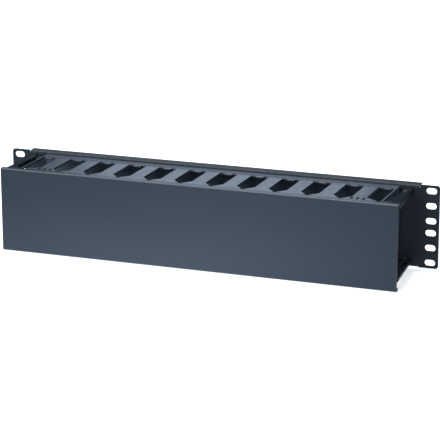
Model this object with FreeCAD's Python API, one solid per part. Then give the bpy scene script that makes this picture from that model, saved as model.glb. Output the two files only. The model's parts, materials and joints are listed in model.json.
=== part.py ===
import FreeCAD, Part
import math
import os
from FreeCAD import Vector

# Two-unit horizontal cable manager for a 19 inch rack.
# A folded steel panel carries a slotted plastic channel, four flared end guides
# and a cover that hangs on the upper fingers by its rolled top lip.
# Millimetres. X runs across the rack, +Y to the back of the rack, +Z up.
# The origin is the centre of the rack hole pattern, on the back face of the panel.

# Rack panel
panel_width = 482.6
panel_height = 88.1
sheet = 1.5
flange_depth = 9.6
ear_width = 21.3
bend_inner_radius = 1.5
relief_width = 0.5
ear_corner_radius = 3.0
rack_hole_inset = 8.75
rack_slot_length = 11.2
rack_slot_width = 6.6
rack_hole_heights = (6.35, 22.225, 38.1)

# Slotted channel
channel_half_height = 41.05
wall = 2.2
channel_end_inset = 20.6
finger_pitch = 34.56
finger_width = 15.0
end_rib_width = 1.7
least_end_slot = 8.0
finger_root_depth = 12.5
head_corner_chamfer = 0.6
tab_width = 8.0
tab_length = 5.3
tab_thickness = 1.6
score_width = 2.2
score_depth = 0.8
head_strip_depth = 7.15
head_flare_length = 9.0
throat_width = 4.4
eyelet_width = 2.8
eyelet_length = 7.4
eyelet_pitch = 6.3
eyelet_setback = 10.9

# Cover and the hook that carries it
cover_end_inset = 1.6
cover_height = 90.6
cover_front_depth = 77.35
cover_rise = 0.5
cover_thickness = 1.8
lip_thickness = 1.7
lip_reach = 6.0
lip_height = 3.3
lip_bead_radius = 0.9
lip_heel_radius = 0.8
cover_edge_radius = 2.0
root_wedge_height = 8.0
root_wedge_thickness = 0.6
running_gap = 0.3
hook_floor_thickness = 2.0
hook_ramp = 3.0
hook_nose_chamfer = 0.25

# End guides
guide_gap = 0.4
guide_web_width = 13.3
guide_web_height = 7.5
guide_rail_width = 2.6
guide_arm_inset = 7.4
guide_arm_start = 13.0
guide_pad_length = 9.0
guide_flare = 6.0
guide_tilt = 0.167
guide_rim_height = 3.2
guide_rim_width = 1.8
guide_edge_chamfer = 0.6
guide_throat = 1.4
guide_plate_end = 30.0
guide_curb_width = 1.6
guide_curb_height = 5.2

# Rivets
rivet_columns = 4
rivet_end_inset = 55.4
rivet_row_height = 22.0
rivet_shank_radius = 1.6
rivet_head_radius = 2.5
rivet_head_height = 1.2
rivet_tail_length = 1.6
rivet_clearance = 0.1

# Sizes that follow from the ones above
half_height = panel_height / 2
half_width = panel_width / 2
flange_half_length = half_width - ear_width
rack_hole_x = half_width - rack_hole_inset
bend_outer_radius = bend_inner_radius + sheet
flange_rear = flange_depth - sheet
seat_y = -sheet
web_front_y = seat_y - wall
finger_half = finger_width / 2
channel_half_length = flange_half_length - channel_end_inset
end_rib_inner_x = channel_half_length - end_rib_width
side_fingers = math.floor((end_rib_inner_x - least_end_slot - finger_half) / finger_pitch)
outer_finger_x = side_fingers * finger_pitch
cover_half_width = flange_half_length - cover_end_inset
cover_top = channel_half_height + cover_rise
pivot_y = -cover_front_depth + lip_reach - lip_bead_radius
pivot_z = cover_top - lip_height + lip_bead_radius
cover_bottom = cover_top - cover_height
cover_back_y = -cover_front_depth + cover_thickness
wedge_y = cover_back_y + root_wedge_thickness
lip_under_z = cover_top - lip_thickness
lip_sweep_radius = math.hypot(lip_bead_radius, cover_top - pivot_z)
hook_floor_z = pivot_z - lip_bead_radius - running_gap
hook_step_y = pivot_y + lip_sweep_radius + running_gap
hook_front_y = wedge_y + running_gap
head_end_y = hook_front_y + head_strip_depth
head_start_y = head_end_y + head_flare_length
eyelet_y = hook_front_y + eyelet_setback
hook_nose_z = lip_under_z - running_gap
hook_under_z = hook_floor_z - hook_floor_thickness
wall_inner_z = channel_half_height - wall
guide_inner_x = channel_half_length + guide_gap
guide_root_x = guide_inner_x + guide_web_width
guide_arm_x = guide_inner_x + guide_arm_inset
rivet_grip = sheet + wall


def box(x0, x1, y0, y1, z0, z1):
    """Block between two corners, in any order."""
    low = Vector(min(x0, x1), min(y0, y1), min(z0, z1))
    return Part.makeBox(abs(x1 - x0), abs(y1 - y0), abs(z1 - z0), low)


def flip(shape, x=False, z=False):
    """Copy of a shape mirrored across the middle of the rack unit."""
    result = shape.copy()
    if x:
        result = result.mirror(Vector(0, 0, 0), Vector(1, 0, 0))
    if z:
        result = result.mirror(Vector(0, 0, 0), Vector(0, 0, 1))
    return result


def run_x(edges, x0, x1):
    """Solid of a closed YZ outline, run from x0 to x1."""
    wire = Part.Wire(edges)
    face = Part.Face(wire)
    face.translate(Vector(x0, 0, 0))
    return face.extrude(Vector(x1 - x0, 0, 0))


def yz(y, z):
    return Vector(0, y, z)


def lines(points):
    """Straight edges through the points, open at the end."""
    return [Part.LineSegment(a, b).toShape() for a, b in zip(points, points[1:])]


def arc(centre_y, centre_z, radius, start_deg, end_deg):
    """Arc in the YZ plane, angles from +Y towards +Z."""
    middle_deg = (start_deg + end_deg) / 2
    points = []
    for angle in (start_deg, middle_deg, end_deg):
        turn = math.radians(angle)
        points.append(yz(centre_y + radius * math.cos(turn), centre_z + radius * math.sin(turn)))
    return Part.Arc(*points).toShape()


def plan_prism(points, z0, z1):
    """Solid of a closed plan outline, between two heights."""
    corners = [Vector(x, y, z0) for x, y in points]
    face = Part.Face(Part.makePolygon(corners + corners[:1]))
    return face.extrude(Vector(0, 0, z1 - z0))


def chamfer_uprights(shape, size, y):
    """Take off the corners that run along Z at one depth."""
    uprights = []
    for edge in shape.Edges:
        start, end = edge.firstVertex().Point, edge.lastVertex().Point
        plumb = math.hypot(end.x - start.x, end.y - start.y) < 1e-6
        if plumb and abs(start.y - y) < 1e-6:
            uprights.append(edge)
    return shape.makeChamfer(size, uprights)


def slot_along_x(length, width, depth):
    """Obround cutter centred on the origin, cutting along Y."""
    offset = (length - width) / 2
    radius = width / 2
    ends = []
    for side in (-1, 1):
        centre = Vector(side * offset, -depth / 2, 0)
        ends.append(Part.makeCylinder(radius, depth, centre, Vector(0, 1, 0)))
    middle = box(-offset, offset, -depth / 2, depth / 2, -radius, radius)
    return middle.fuse(ends)


# Rack panel

def panel_section():
    """Channel section of the folded sheet, as a closed YZ outline."""
    bend_y = seat_y + bend_outer_radius
    bend_z = half_height - bend_outer_radius
    inner_z = half_height - sheet
    edges = [arc(bend_y, bend_z, bend_outer_radius, 180, 90)]
    edges += lines([
        yz(bend_y, half_height),
        yz(flange_rear, half_height),
        yz(flange_rear, inner_z),
        yz(bend_y, inner_z),
    ])
    edges.append(arc(bend_y, bend_z, bend_inner_radius, 90, 180))
    edges += lines([yz(0, bend_z), yz(0, -bend_z)])
    edges.append(arc(bend_y, -bend_z, bend_inner_radius, 180, 270))
    edges += lines([
        yz(bend_y, -inner_z),
        yz(flange_rear, -inner_z),
        yz(flange_rear, -half_height),
        yz(bend_y, -half_height),
    ])
    edges.append(arc(bend_y, -bend_z, bend_outer_radius, 270, 180))
    edges += lines([yz(seat_y, -bend_z), yz(seat_y, bend_z)])
    return edges


def rack_ear():
    """Flat right-hand ear with its rounded corners and bend reliefs."""
    ear = box(flange_half_length, half_width, seat_y, 0, -half_height, half_height)
    corners = []
    for edge in ear.Edges:
        middle = edge.CenterOfMass
        if abs(middle.x - half_width) < 1e-6 and abs(abs(middle.z) - half_height) < 1e-6:
            corners.append(edge)
    ear = ear.makeFillet(ear_corner_radius, corners)
    relief_x = flange_half_length + relief_width
    relief_z = half_height - bend_outer_radius
    relief = box(flange_half_length, relief_x, seat_y, 0, relief_z, half_height)
    return ear.cut([relief, flip(relief, z=True)])


def rack_panel():
    panel = run_x(panel_section(), -flange_half_length, flange_half_length)
    ear = rack_ear()
    panel = panel.fuse([ear, flip(ear, x=True)])
    cutters = []
    for side in (-1, 1):
        for height in rack_hole_heights:
            for half in (-1, 1):
                cutter = slot_along_x(rack_slot_length, rack_slot_width, 4 * sheet)
                cutter.translate(Vector(side * rack_hole_x, seat_y / 2, half * height))
                cutters.append(cutter)
    cutters += rivet_holes()
    return panel.cut(cutters).removeSplitter()


# Slotted channel

def hook_section(start_y):
    """Upper wall from start_y forward to the hook, as a closed YZ outline."""
    nose_back_y = pivot_y - lip_bead_radius - running_gap
    return lines([
        yz(start_y, wall_inner_z),
        yz(start_y, channel_half_height),
        yz(hook_step_y, channel_half_height),
        yz(hook_step_y, hook_floor_z),
        yz(nose_back_y, hook_floor_z),
        yz(nose_back_y, hook_nose_z - hook_nose_chamfer),
        yz(nose_back_y - hook_nose_chamfer, hook_nose_z),
        yz(hook_front_y + hook_nose_chamfer, hook_nose_z),
        yz(hook_front_y, hook_nose_z - hook_nose_chamfer),
        yz(hook_front_y, hook_under_z + hook_nose_chamfer),
        yz(hook_front_y + hook_nose_chamfer, hook_under_z),
        yz(hook_step_y, hook_under_z),
        yz(hook_step_y + hook_ramp, wall_inner_z),
        yz(start_y, wall_inner_z),
    ])


def finger_slot(centre_x):
    """Cutter for one cable slot with its narrow throat between two finger heads."""
    side = (finger_pitch - finger_width) / 2
    throat = throat_width / 2
    outline = [
        (centre_x - side, -finger_root_depth),
        (centre_x - side, head_start_y),
        (centre_x - throat, head_end_y),
        (centre_x - throat, hook_front_y - wall),
        (centre_x + throat, hook_front_y - wall),
        (centre_x + throat, head_end_y),
        (centre_x + side, head_start_y),
        (centre_x + side, -finger_root_depth),
    ]
    cutter = plan_prism(outline, hook_under_z - wall, channel_half_height + wall)
    return chamfer_uprights(cutter, head_corner_chamfer, head_end_y)


def end_slot():
    """Cutter for the last slot, between the outer finger and the end rib."""
    inner_x = outer_finger_x + finger_half
    outer_x = end_rib_inner_x
    throat = outer_x - throat_width
    outline = [
        (inner_x, -finger_root_depth),
        (inner_x, head_start_y),
        (throat, head_end_y),
        (throat, hook_front_y - wall),
        (outer_x, hook_front_y - wall),
        (outer_x, -finger_root_depth),
    ]
    cutter = plan_prism(outline, hook_under_z - wall, channel_half_height + wall)
    return chamfer_uprights(cutter, head_corner_chamfer, head_end_y)


def slot_tab(centre_x):
    """Short tongue that stands into a slot from its root."""
    half = tab_width / 2
    root_y = -finger_root_depth + wall
    tip_y = -finger_root_depth - tab_length
    low_z = channel_half_height - tab_thickness
    return box(centre_x - half, centre_x + half, root_y, tip_y, low_z, channel_half_height)


def slot_centres():
    """Middles of the full slots, between neighbouring fingers."""
    return [(index + 0.5) * finger_pitch for index in range(-side_fingers, side_fingers)]


def eyelets():
    """Three small tie eyelets in the head of the outermost finger."""
    cutters = []
    half = eyelet_width / 2
    reach = eyelet_length / 2
    high_z = channel_half_height + wall
    for index in (-1, 0, 1):
        x = outer_finger_x + index * eyelet_pitch
        eyelet = box(x - half, x + half, eyelet_y - reach, eyelet_y + reach, hook_under_z, high_z)
        cutters.append(eyelet)
    return cutters


def comb_cutters():
    """Everything that is cut from the upper wall."""
    last_slot = end_slot()
    cutters = [finger_slot(x) for x in slot_centres()]
    cutters += [last_slot, flip(last_slot, x=True)]
    for cutter in eyelets():
        cutters += [cutter, flip(cutter, x=True)]
    return cutters


def score_groove():
    """Groove along the roots of the fingers, where one can be snapped off."""
    end_x = end_rib_inner_x
    front_y = -finger_root_depth
    floor_z = channel_half_height - score_depth
    return box(-end_x, end_x, front_y, front_y + score_width, floor_z, channel_half_height + wall)


def cable_channel():
    upper = run_x(hook_section(web_front_y), -channel_half_length, channel_half_length)
    upper = upper.cut(comb_cutters())
    last_tab_x = outer_finger_x + finger_pitch / 2
    tabs = [slot_tab(x) for x in slot_centres() + [-last_tab_x, last_tab_x]]
    upper = upper.fuse(tabs).cut(score_groove())
    reach = channel_half_length
    web = box(-reach, reach, seat_y, web_front_y, -channel_half_height, channel_half_height)
    channel = web.fuse([upper, flip(upper, z=True)])
    return channel.cut(rivet_holes()).removeSplitter()


# End guides

def guide_outer_x(y):
    """Outer edge of a guide, which flares out towards the front."""
    share = (seat_y - y) / (seat_y - hook_front_y)
    return guide_root_x + guide_flare * share


def guide_slope_z(x):
    """Plane of the guide's top face, which falls away outwards."""
    return channel_half_height - guide_tilt * (x - guide_arm_x)


def guide_top_z(x):
    """Top of a guide, level up to the arm's inner edge and falling away outside it."""
    return min(channel_half_height, guide_slope_z(x))


def guide_run(y0, y1, inner_x):
    """Length of arm between two depths, with its deeper outer rim."""
    outer_x = guide_outer_x(y0)
    reach_x = inner_x - guide_flare
    edge_z = guide_top_z(outer_x)
    rim_x = outer_x - guide_rim_width
    points = [
        (reach_x, guide_slope_z(reach_x)),
        (outer_x - guide_edge_chamfer, guide_slope_z(outer_x - guide_edge_chamfer)),
        (outer_x, edge_z - guide_edge_chamfer),
        (outer_x, edge_z - guide_rim_height),
        (rim_x, edge_z - guide_rim_height),
        (rim_x - guide_edge_chamfer, guide_slope_z(rim_x) - wall),
        (reach_x, guide_slope_z(reach_x) - wall),
    ]
    corners = [Vector(x, y0, z) for x, z in points]
    shift_x = guide_outer_x(y1) - outer_x
    section = Part.Face(Part.makePolygon(corners + corners[:1]))
    run = section.extrude(Vector(shift_x, y1 - y0, -guide_tilt * shift_x))
    inside = box(reach_x - wall, inner_x, y0 + wall, y1 - wall, 0, half_height + wall)
    return run.cut(inside)


def guide_hook():
    """Front strip of a guide, with the same hook as the fingers."""
    inner_x = guide_inner_x + guide_throat
    outer_x = guide_outer_x(hook_front_y)
    strip = run_x(hook_section(head_end_y + wall), inner_x, outer_x)
    rise = channel_half_height + wall
    slope = [
        Vector(guide_arm_x, 0, channel_half_height),
        Vector(outer_x + wall, 0, guide_top_z(outer_x + wall)),
        Vector(outer_x + wall, 0, rise),
        Vector(guide_arm_x, 0, rise),
    ]
    wedge = Part.Face(Part.makePolygon(slope + slope[:1]))
    wedge.translate(Vector(0, hook_front_y - wall, 0))
    wedge = wedge.extrude(Vector(0, -hook_front_y, 0))
    flare_cut = plan_prism([
        (guide_outer_x(hook_front_y), hook_front_y),
        (guide_outer_x(head_start_y), head_start_y),
        (outer_x + wall, head_start_y),
        (outer_x + wall, hook_front_y),
    ], hook_under_z - wall, rise)
    return strip.cut([wedge, flare_cut])


def guide_shoulder():
    """Half finger head that narrows the guide's slot towards the front."""
    outline = [
        (guide_arm_x, head_start_y),
        (guide_inner_x + guide_throat, head_end_y),
        (guide_inner_x + guide_throat, head_end_y - wall),
        (guide_arm_x + wall, head_end_y - wall),
        (guide_arm_x + wall, head_start_y),
    ]
    return plan_prism(outline, wall_inner_z, guide_top_z(guide_arm_x + wall))


def arm_curb():
    """Flange that hangs from the inner edge of a guide's arm."""
    outer_x = guide_arm_x + guide_curb_width
    low_z = channel_half_height - guide_curb_height
    high_z = (guide_slope_z(outer_x) + wall_inner_z) / 2
    return box(guide_arm_x, outer_x, -guide_arm_start, head_start_y, low_z, high_z)


def root_plate():
    """Level plate that fills the root of a guide's slot."""
    return box(guide_inner_x, guide_arm_x + guide_edge_chamfer, web_front_y, -guide_plate_end,
               wall_inner_z, guide_top_z(guide_arm_x + guide_edge_chamfer))


def right_guide(closed_root):
    """Guide at the upper right, with an open window or a closed plate at its root."""
    web_low = channel_half_height - guide_web_height
    web = box(guide_inner_x, guide_root_x, seat_y, web_front_y, web_low, guide_top_z(guide_root_x))
    rail_inner_x = guide_arm_x if closed_root else guide_root_x - guide_rail_width
    rail = guide_run(web_front_y, -guide_arm_start, rail_inner_x)
    arm = guide_run(-guide_arm_start, hook_step_y, guide_arm_x)
    pad_outer_x = guide_outer_x(-guide_arm_start) - guide_rim_width
    pad_end_y = -guide_arm_start - guide_pad_length
    pad = box(guide_arm_x, pad_outer_x, -guide_arm_start, pad_end_y, wall_inner_z, channel_half_height)
    pieces = [rail, arm, pad, arm_curb(), guide_hook(), guide_shoulder()]
    if closed_root:
        pieces.append(root_plate())
    return web.fuse(pieces).cut(rivet_holes()).removeSplitter()


# Cover

def cover_lip(edge_z, sign):
    """Outline of one rolled lip, from the front face round to the back face.

    sign is 1 for the top lip and -1 for the bottom one, and edge_z is the outer edge.
    """
    def at(y, drop):
        return yz(y, edge_z - sign * drop)

    def turn(y, drop, radius, start_deg, end_deg):
        return arc(y, edge_z - sign * drop, radius, sign * start_deg, sign * end_deg)

    front_y = -cover_front_depth
    tip_y = front_y + lip_reach
    bead_drop = lip_height - lip_bead_radius
    under = lip_thickness
    neck_rise = bead_drop - under
    neck_y = pivot_y - math.sqrt(lip_bead_radius ** 2 - neck_rise ** 2)
    neck_deg = math.degrees(math.atan2(neck_rise, neck_y - pivot_y)) - 360
    edges = [turn(front_y + cover_edge_radius, cover_edge_radius, cover_edge_radius, 180, 90)]
    edges += lines([at(front_y + cover_edge_radius, 0), at(tip_y - lip_heel_radius, 0)])
    edges.append(turn(tip_y - lip_heel_radius, lip_heel_radius, lip_heel_radius, 90, 0))
    edges += lines([at(tip_y, lip_heel_radius), at(tip_y, bead_drop)])
    edges.append(turn(pivot_y, bead_drop, lip_bead_radius, 0, neck_deg))
    edges += lines([
        at(neck_y, under),
        at(wedge_y, under),
        at(cover_back_y, root_wedge_height),
    ])
    return edges


def front_cover():
    top = cover_lip(cover_top, 1)
    bottom = cover_lip(cover_bottom, -1)
    front_y = -cover_front_depth
    back_side = lines([
        yz(cover_back_y, cover_top - root_wedge_height),
        yz(cover_back_y, cover_bottom + root_wedge_height),
    ])
    front_side = lines([
        yz(front_y, cover_bottom + cover_edge_radius),
        yz(front_y, cover_top - cover_edge_radius),
    ])
    edges = Part.__sortEdges__(top + back_side + bottom + front_side)
    return run_x(edges, -cover_half_width, cover_half_width)


# Rivets

def rivet_places():
    """Names and XZ places of the rivets, columns counted from the left."""
    guide_x = (guide_inner_x + guide_root_x) / 2
    guide_z = (wall_inner_z + channel_half_height - guide_web_height) / 2
    first_x = rivet_end_inset - channel_half_length
    column_pitch = -2 * first_x / (rivet_columns - 1)
    places = []
    for row, row_name in ((1, "upper"), (-1, "lower")):
        for column in range(rivet_columns):
            x = first_x + column * column_pitch
            name = f"channel_rivet_{row_name}_{column + 1}"
            places.append((name, x, row * rivet_row_height))
        for side, side_name in ((-1, "left"), (1, "right")):
            name = f"guide_rivet_{row_name}_{side_name}"
            places.append((name, side * guide_x, row * guide_z))
    return places


def rivet_holes():
    """Clearance holes for all rivets, through the plastic and the sheet."""
    radius = rivet_shank_radius + rivet_clearance
    length = 3 * rivet_grip
    holes = []
    for _, x, z in rivet_places():
        start = Vector(x, -2 * rivet_grip, z)
        holes.append(Part.makeCylinder(radius, length, start, Vector(0, 1, 0)))
    return holes


def drive_rivet():
    """Flat-headed rivet about Y, with its tail through the sheet."""
    head_y = web_front_y - rivet_head_height
    shank_length = rivet_grip + rivet_tail_length
    along = Vector(0, 1, 0)
    head = Part.makeCylinder(rivet_head_radius, rivet_head_height, Vector(0, head_y, 0), along)
    shank = Part.makeCylinder(rivet_shank_radius, shank_length, Vector(0, web_front_y, 0), along)
    return head.fuse(shank).removeSplitter()


def build():
    """All nodes of the cable manager, by name."""
    upper_guide = right_guide(closed_root=False)
    lower_guide = flip(right_guide(closed_root=True), z=True)
    nodes = {
        "rack_panel": rack_panel(),
        "cable_channel": cable_channel(),
        "upper_right_guide": upper_guide,
        "upper_left_guide": flip(upper_guide, x=True),
        "lower_right_guide": lower_guide,
        "lower_left_guide": flip(lower_guide, x=True),
        "front_cover": front_cover(),
    }
    for name, x, z in rivet_places():
        rivet = drive_rivet()
        rivet.translate(Vector(x, 0, z))
        nodes[name] = rivet
    return nodes


os.makedirs("parts", exist_ok=True)
for node_name, node_shape in build().items():
    node_shape.exportStep(f"parts/{node_name}.step")
    volume = node_shape.Volume / 1000
    print(f"{node_name}: {len(node_shape.Solids)} solid, {volume:.2f} cm3, valid {node_shape.isValid()}")
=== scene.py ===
import json
import math

import bmesh
import bpy
from mathutils import Euler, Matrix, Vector


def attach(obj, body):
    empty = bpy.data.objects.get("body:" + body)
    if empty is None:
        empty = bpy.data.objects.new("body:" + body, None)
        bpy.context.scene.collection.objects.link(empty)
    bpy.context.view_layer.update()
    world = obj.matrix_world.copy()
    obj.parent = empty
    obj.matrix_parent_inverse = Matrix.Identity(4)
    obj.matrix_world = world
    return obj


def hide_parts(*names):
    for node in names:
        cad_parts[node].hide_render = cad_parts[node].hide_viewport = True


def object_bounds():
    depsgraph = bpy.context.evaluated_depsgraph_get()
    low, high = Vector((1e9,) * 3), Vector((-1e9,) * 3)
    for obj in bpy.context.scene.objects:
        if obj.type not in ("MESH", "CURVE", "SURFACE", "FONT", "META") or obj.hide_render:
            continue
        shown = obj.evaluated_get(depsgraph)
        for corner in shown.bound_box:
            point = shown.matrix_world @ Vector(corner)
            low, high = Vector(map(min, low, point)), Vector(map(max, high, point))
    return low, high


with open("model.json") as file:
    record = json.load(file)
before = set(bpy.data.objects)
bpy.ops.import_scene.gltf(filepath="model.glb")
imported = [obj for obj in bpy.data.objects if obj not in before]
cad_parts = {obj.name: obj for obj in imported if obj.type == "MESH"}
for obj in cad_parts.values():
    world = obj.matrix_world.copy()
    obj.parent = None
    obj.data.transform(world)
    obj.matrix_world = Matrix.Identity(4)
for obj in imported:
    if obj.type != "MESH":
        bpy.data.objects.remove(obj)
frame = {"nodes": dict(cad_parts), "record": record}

cad_low, cad_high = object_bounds()

# A two-unit rack cable manager. Metres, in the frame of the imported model.
MM = 0.001

# Camera, as worked out from the rack panel in the photograph
CAMERA_PLACE = Vector((0.7073, -1.8806, 0.5452))
CAMERA_YAW = math.radians(20.57)
CAMERA_PITCH = math.radians(15.58)
CAMERA_ROLL = math.radians(-0.08)
FOCAL_PIXELS = 1954.7
FRAME_PIXELS = 440
SENSOR_WIDTH = 36.0
CAMERA_REACH = 50.0

# Floor: what the camera sees of it, and the cooler, darker floor that lights the object
FLOOR_SIZE = 14.0
FLOOR_DROP = 0.0002
SEEN_COLOUR = (0.86, 0.86, 0.86, 1)
SEEN_GLOW = 0.72
BOUNCE_COLOUR = (0.48, 0.56, 0.64, 1)

# Painted pool of light: the floor itself glows here, no lamp, and the cover mirrors it: its middle, reach,
# strength and colour
POOL_MIDDLE = (-0.03, -0.08)
POOL_REACH = 0.18
POOL_LEVEL = 1.3
POOL_COLOUR = (0.84, 1.01, 1.24, 1)

# World: strength as a lamp and in reflections
FILL_LEVEL = 0.15
SHINE_LEVEL = 1.0
SKY_COLOUR = (0.85, 1.0, 1.18, 1)

# Lamps, aimed at the origin: name, place, width and height, watts
LAMP_COLOUR = (0.92, 1.0, 1.12)
LAMPS = [
    ("top_light", (-0.5, -0.35, 2.0), (2.6, 1.3), 50),
    ("front_light", (-0.6, -1.5, 1.5), (1.6, 1.2), 20),
]

# Dark boards behind the object, to both sides of the pale backdrop: left and right edge of each
BOARD_DISTANCE = 1.02
BOARD_TOP = 2.0
BOARDS = [(-2.5, -0.63), (-0.11, 1.5)]
BOARD_COLOUR = (0.01, 0.01, 0.01, 1)

# Colours, linear
COVER_COLOUR = (0.020, 0.027, 0.034, 1)
CHANNEL_COLOUR = (0.038, 0.048, 0.062, 1)
# End guides: the channel's plastic darkened, as painted shade
GUIDE_PAINTED_SHADE_COLOUR = (0.008, 0.010, 0.014, 1)
COAT_COLOUR = (0.008, 0.010, 0.013, 1)
NYLON_COLOUR = (0.020, 0.022, 0.026, 1)

# Strength of the reflection straight on, where 0.5 is that of common plastic
COVER_SHINE = 0.42
CHANNEL_SHINE = 0.85
GUIDE_SHINE = 0.4
COAT_SHINE = 0.36

# Levels between which most of a noise texture lies
NOISE_LOW = 0.3
NOISE_HIGH = 0.7

# Softened edges: radius for each kind of piece, and the sharpest angle left alone
SHEET_EDGE = 0.18 * MM
MOULD_EDGE = 0.22 * MM
COVER_EDGE = 0.30 * MM
NYLON_EDGE = 0.25 * MM
EDGE_ANGLE = math.radians(50)
SHARP_ANGLE = math.radians(32)
MERGE_DISTANCE = 1e-6
FLAT_ANGLE = math.radians(0.5)


# Materials

class Shader:
    """A material's node tree, with short calls for the nodes that it is made of."""

    def __init__(self, name):
        self.material = bpy.data.materials.new(name)
        self.material.use_nodes = True
        self.nodes = self.material.node_tree.nodes
        self.links = self.material.node_tree.links
        self.skin = self.nodes["Principled BSDF"]
        self.place = self.nodes.new("ShaderNodeTexCoord").outputs["Object"]

    def noise(self, scale, detail=3.0, stretch=(1, 1, 1)):
        """Noise over the object's own coordinates; scale counts features per metre."""
        mapping = self.nodes.new("ShaderNodeMapping")
        mapping.inputs["Scale"].default_value = stretch
        self.links.new(self.place, mapping.inputs["Vector"])
        node = self.nodes.new("ShaderNodeTexNoise")
        node.inputs["Scale"].default_value = scale
        node.inputs["Detail"].default_value = detail
        self.links.new(mapping.outputs["Vector"], node.inputs["Vector"])
        return node.outputs["Fac"]

    def spread(self, value, low, high):
        """A 0 to 1 value spread between two levels."""
        node = self.nodes.new("ShaderNodeMapRange")
        node.inputs["From Min"].default_value = NOISE_LOW
        node.inputs["From Max"].default_value = NOISE_HIGH
        node.inputs["To Min"].default_value = low
        node.inputs["To Max"].default_value = high
        self.links.new(value, node.inputs["Value"])
        return node.outputs["Result"]

    def shade(self, value, colour, low, high):
        """A colour scaled between two levels by a 0 to 1 value."""
        node = self.nodes.new("ShaderNodeMix")
        node.data_type = "RGBA"
        node.inputs["A"].default_value = tuple(c * low for c in colour[:3]) + (1,)
        node.inputs["B"].default_value = tuple(c * high for c in colour[:3]) + (1,)
        self.links.new(self.spread(value, 0, 1), node.inputs["Factor"])
        self.links.new(node.outputs["Result"], self.skin.inputs["Base Color"])

    def roughness(self, value, low, high):
        self.links.new(self.spread(value, low, high), self.skin.inputs["Roughness"])

    def bump(self, value, height, strength):
        node = self.nodes.new("ShaderNodeBump")
        node.inputs["Distance"].default_value = height
        node.inputs["Strength"].default_value = strength
        self.links.new(value, node.inputs["Height"])
        self.links.new(node.outputs["Normal"], self.skin.inputs["Normal"])


def powder_coat():
    """Black powder coat: a fine orange-peel grain on folded steel."""
    shader = Shader("powder_coat")
    shader.shade(shader.noise(scale=35, detail=4), COAT_COLOUR, low=0.85, high=1.2)
    shader.roughness(shader.noise(scale=260), low=0.50, high=0.62)
    shader.bump(shader.noise(scale=1600, detail=2), height=0.06 * MM, strength=0.5)
    shader.skin.inputs["Specular IOR Level"].default_value = COAT_SHINE
    return shader.material


def moulded_plastic(name, colour, shine):
    """Satin moulded plastic, with faint flow variation along the fingers."""
    shader = Shader(name)
    shader.shade(shader.noise(scale=22, detail=4, stretch=(1, 0.35, 1)), colour, low=0.85, high=1.2)
    shader.roughness(shader.noise(scale=120), low=0.30, high=0.42)
    shader.bump(shader.noise(scale=2600, detail=2), height=0.015 * MM, strength=0.5)
    shader.skin.inputs["Specular IOR Level"].default_value = shine
    return shader.material


def cover_plastic():
    """Extruded plastic: a soft sheen, with the faintest draw lines along the length."""
    shader = Shader("cover_plastic")
    shader.shade(shader.noise(scale=14, detail=4, stretch=(0.25, 1, 1)), COVER_COLOUR, low=0.92, high=1.08)
    shader.roughness(shader.noise(scale=220, stretch=(0.5, 1, 1)), low=0.29, high=0.34)
    shader.bump(shader.noise(scale=2400, detail=2, stretch=(0.3, 1, 1)), height=0.008 * MM, strength=0.35)
    shader.skin.inputs["Specular IOR Level"].default_value = COVER_SHINE
    return shader.material


def nylon():
    """Matte nylon of the rivets."""
    shader = Shader("rivet_nylon")
    shader.shade(shader.noise(scale=400), NYLON_COLOUR, low=0.85, high=1.15)
    shader.roughness(shader.noise(scale=700, detail=2), low=0.48, high=0.62)
    shader.bump(shader.noise(scale=3000, detail=2), height=0.01 * MM, strength=0.4)
    return shader.material


# Pieces

def softened(name, radius):
    """Copy of a node's mesh with its square edges rounded and its shading smooth."""
    work = bmesh.new()
    work.from_mesh(frame["nodes"][name].data)
    bmesh.ops.remove_doubles(work, verts=work.verts, dist=MERGE_DISTANCE)
    bmesh.ops.dissolve_limit(work, angle_limit=FLAT_ANGLE, verts=work.verts, edges=work.edges)
    square = [edge for edge in work.edges if edge.is_manifold and edge.calc_face_angle() > EDGE_ANGLE]
    bmesh.ops.bevel(
        work, geom=square, offset=radius, offset_type="OFFSET", segments=2, profile=0.5,
        affect="EDGES", clamp_overlap=False, loop_slide=True,
    )
    for face in work.faces:
        face.smooth = True
    for edge in work.edges:
        edge.smooth = edge.is_manifold and edge.calc_face_angle() < SHARP_ANGLE
    mesh = bpy.data.meshes.new(name + "_soft")
    work.to_mesh(mesh)
    work.free()
    piece = bpy.data.objects.new(name + "_soft", mesh)
    bpy.context.scene.collection.objects.link(piece)
    normals = piece.modifiers.new("normals", "WEIGHTED_NORMAL")
    normals.keep_sharp = True
    return piece


def dress_nodes():
    """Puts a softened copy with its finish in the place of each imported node."""
    finishes = {
        "powder_coat": (powder_coat(), SHEET_EDGE),
        "moulded_plastic": (moulded_plastic("channel_plastic", CHANNEL_COLOUR, CHANNEL_SHINE), MOULD_EDGE),
        "cover_plastic": (cover_plastic(), COVER_EDGE),
        "rivet_plastic": (nylon(), NYLON_EDGE),
    }
    # The end guides get a darker copy of the channel's plastic: painted shade
    guide_plastic_painted_shade = moulded_plastic("guide_plastic_painted_shade", GUIDE_PAINTED_SHADE_COLOUR, GUIDE_SHINE)
    body_of = {}
    for body, members in frame["record"]["behaviour"]["bodies"].items():
        for member in members:
            body_of[member] = body
    for entry in frame["record"]["subparts"]:
        name, slot = entry["node"], entry["material_slot"]
        material, radius = finishes[slot]
        if name.endswith("_guide"):
            material = guide_plastic_painted_shade
        node = frame["nodes"][name]
        node.data.materials.clear()
        node.data.materials.append(material)
        piece = softened(name, radius)
        piece.data.materials.append(material)
        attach(piece, body_of[name])
        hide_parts(name)


# Scene

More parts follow.
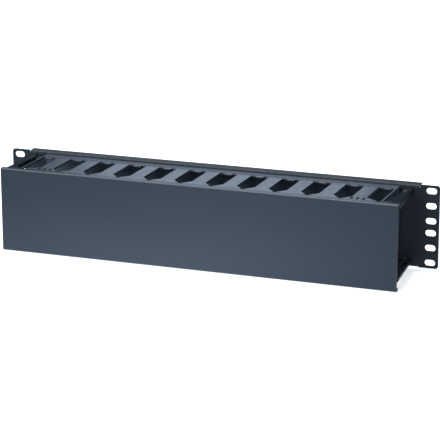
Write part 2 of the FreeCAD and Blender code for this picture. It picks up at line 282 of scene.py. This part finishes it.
def make_camera():
    data = bpy.data.cameras.new("camera")
    data.sensor_width = SENSOR_WIDTH
    data.lens = FOCAL_PIXELS * SENSOR_WIDTH / FRAME_PIXELS
    data.clip_end = CAMERA_REACH
    camera = bpy.data.objects.new("camera", data)
    bpy.context.scene.collection.objects.link(camera)
    turn = Euler((math.pi / 2 - CAMERA_PITCH, 0, CAMERA_YAW), "XYZ").to_matrix()
    roll = Euler((0, 0, CAMERA_ROLL), "XYZ").to_matrix()
    camera.matrix_world = (turn @ roll).to_4x4()
    camera.location = CAMERA_PLACE
    bpy.context.scene.camera = camera


def make_lamps():
    for name, place, size, power in LAMPS:
        data = bpy.data.lights.new(name, "AREA")
        data.shape = "RECTANGLE"
        data.size, data.size_y = size
        data.energy = power
        data.color = LAMP_COLOUR
        lamp = bpy.data.objects.new(name, data)
        bpy.context.scene.collection.objects.link(lamp)
        lamp.location = place
        lamp.rotation_euler = (-Vector(place)).to_track_quat("-Z", "Y").to_euler()
        lamp.visible_camera = False


def make_boards():
    """Dark boards that only reflections show, so that the tops darken toward both ends."""
    material = bpy.data.materials.new("board")
    material.use_nodes = True
    skin = material.node_tree.nodes["Principled BSDF"]
    skin.inputs["Base Color"].default_value = BOARD_COLOUR
    skin.inputs["Specular IOR Level"].default_value = 0
    low, high = cad_low.z, BOARD_TOP
    for index, (left, right) in enumerate(BOARDS):
        mesh = bpy.data.meshes.new(f"board_{index + 1}")
        corners = [(left, low), (right, low), (right, high), (left, high)]
        mesh.from_pydata([(x, BOARD_DISTANCE, z) for x, z in corners], [], [(0, 1, 2, 3)])
        mesh.materials.append(material)
        board = bpy.data.objects.new(mesh.name, mesh)
        bpy.context.scene.collection.objects.link(board)
        board.visible_camera = False
        board.visible_diffuse = False
        board.visible_transmission = False
        board.visible_shadow = False


def seen_plainly(nodes, links):
    """1 for rays that come from the camera, also through glass, and 0 for the rest."""
    path = nodes.new("ShaderNodeLightPath")
    seen = nodes.new("ShaderNodeMath")
    seen.operation = "MAXIMUM"
    links.new(path.outputs["Is Camera Ray"], seen.inputs[0])
    links.new(path.outputs["Is Transmission Ray"], seen.inputs[1])
    return seen.outputs["Value"]


def calculated(nodes, operation, second):
    """A calculation node whose second input is a constant."""
    node = nodes.new("ShaderNodeMath")
    node.operation = operation
    node.inputs[1].default_value = second
    return node


def pool_glow(nodes, links, level):
    """Painted light: a glow from the floor itself, no lamp, that fades away from the middle of the pool as
    a bell curve.
    """
    place = nodes.new("ShaderNodeTexCoord")
    offset = nodes.new("ShaderNodeVectorMath")
    offset.operation = "SUBTRACT"
    offset.inputs[1].default_value = (*POOL_MIDDLE, level)
    square = nodes.new("ShaderNodeVectorMath")
    square.operation = "DOT_PRODUCT"
    fall = calculated(nodes, "MULTIPLY", -1 / (2 * POOL_REACH ** 2))
    bell = nodes.new("ShaderNodeMath")
    bell.operation = "EXPONENT"
    strength = calculated(nodes, "MULTIPLY", POOL_LEVEL)
    glow = nodes.new("ShaderNodeEmission")
    glow.inputs["Color"].default_value = POOL_COLOUR
    links.new(place.outputs["Object"], offset.inputs[0])
    links.new(offset.outputs["Vector"], square.inputs[0])
    links.new(offset.outputs["Vector"], square.inputs[1])
    links.new(square.outputs["Value"], fall.inputs[0])
    links.new(fall.outputs["Value"], bell.inputs[0])
    links.new(bell.outputs["Value"], strength.inputs[0])
    links.new(strength.outputs["Value"], glow.inputs["Strength"])
    return glow


def even_glow(nodes):
    glow = nodes.new("ShaderNodeEmission")
    glow.inputs["Strength"].default_value = SEEN_GLOW
    return glow


def glowing(nodes, links, colour, glow):
    """A matte surface of one colour that also gives off a glow."""
    matte = nodes.new("ShaderNodeBsdfDiffuse")
    matte.inputs["Color"].default_value = colour
    both = nodes.new("ShaderNodeAddShader")
    links.new(matte.outputs["BSDF"], both.inputs[0])
    links.new(glow.outputs["Emission"], both.inputs[1])
    return both.outputs["Shader"]


def floor_material(level):
    material = bpy.data.materials.new("floor")
    material.use_nodes = True
    nodes, links = material.node_tree.nodes, material.node_tree.links
    nodes.clear()
    mix = nodes.new("ShaderNodeMixShader")
    output = nodes.new("ShaderNodeOutputMaterial")
    links.new(seen_plainly(nodes, links), mix.inputs["Fac"])
    # Rays other than the camera's see the darker floor with the painted pool of light
    links.new(glowing(nodes, links, BOUNCE_COLOUR, pool_glow(nodes, links, level)), mix.inputs[1])
    links.new(glowing(nodes, links, SEEN_COLOUR, even_glow(nodes)), mix.inputs[2])
    links.new(mix.outputs["Shader"], output.inputs["Surface"])
    return material


def make_floor():
    mesh = bpy.data.meshes.new("floor")
    half = FLOOR_SIZE / 2
    level = cad_low.z - FLOOR_DROP
    corners = [(-half, -half, level), (half, -half, level), (half, half, level), (-half, half, level)]
    mesh.from_pydata(corners, [], [(0, 1, 2, 3)])
    mesh.materials.append(floor_material(level))
    floor = bpy.data.objects.new("floor", mesh)
    bpy.context.scene.collection.objects.link(floor)


def make_world():
    """White for the camera, a cool white in reflections and a faint cool light for the rest."""
    world = bpy.data.worlds.new("world")
    bpy.context.scene.world = world
    world.use_nodes = True
    nodes, links = world.node_tree.nodes, world.node_tree.links
    sky = nodes["Background"]
    sky.inputs["Color"].default_value = SKY_COLOUR
    white = nodes.new("ShaderNodeBackground")
    white.inputs["Color"].default_value = (1, 1, 1, 1)
    white.inputs["Strength"].default_value = 1.0
    path = nodes.new("ShaderNodeLightPath")
    level = nodes.new("ShaderNodeMapRange")
    level.inputs["To Min"].default_value = FILL_LEVEL
    level.inputs["To Max"].default_value = SHINE_LEVEL
    links.new(path.outputs["Is Glossy Ray"], level.inputs["Value"])
    links.new(level.outputs["Result"], sky.inputs["Strength"])
    mix = nodes.new("ShaderNodeMixShader")
    links.new(seen_plainly(nodes, links), mix.inputs["Fac"])
    links.new(sky.outputs["Background"], mix.inputs[1])
    links.new(white.outputs["Background"], mix.inputs[2])
    links.new(mix.outputs["Shader"], nodes["World Output"].inputs["Surface"])


dress_nodes()
make_camera()
make_world()
make_floor()
make_boards()
make_lamps()

bpy.context.scene.view_settings.view_transform = "Standard"
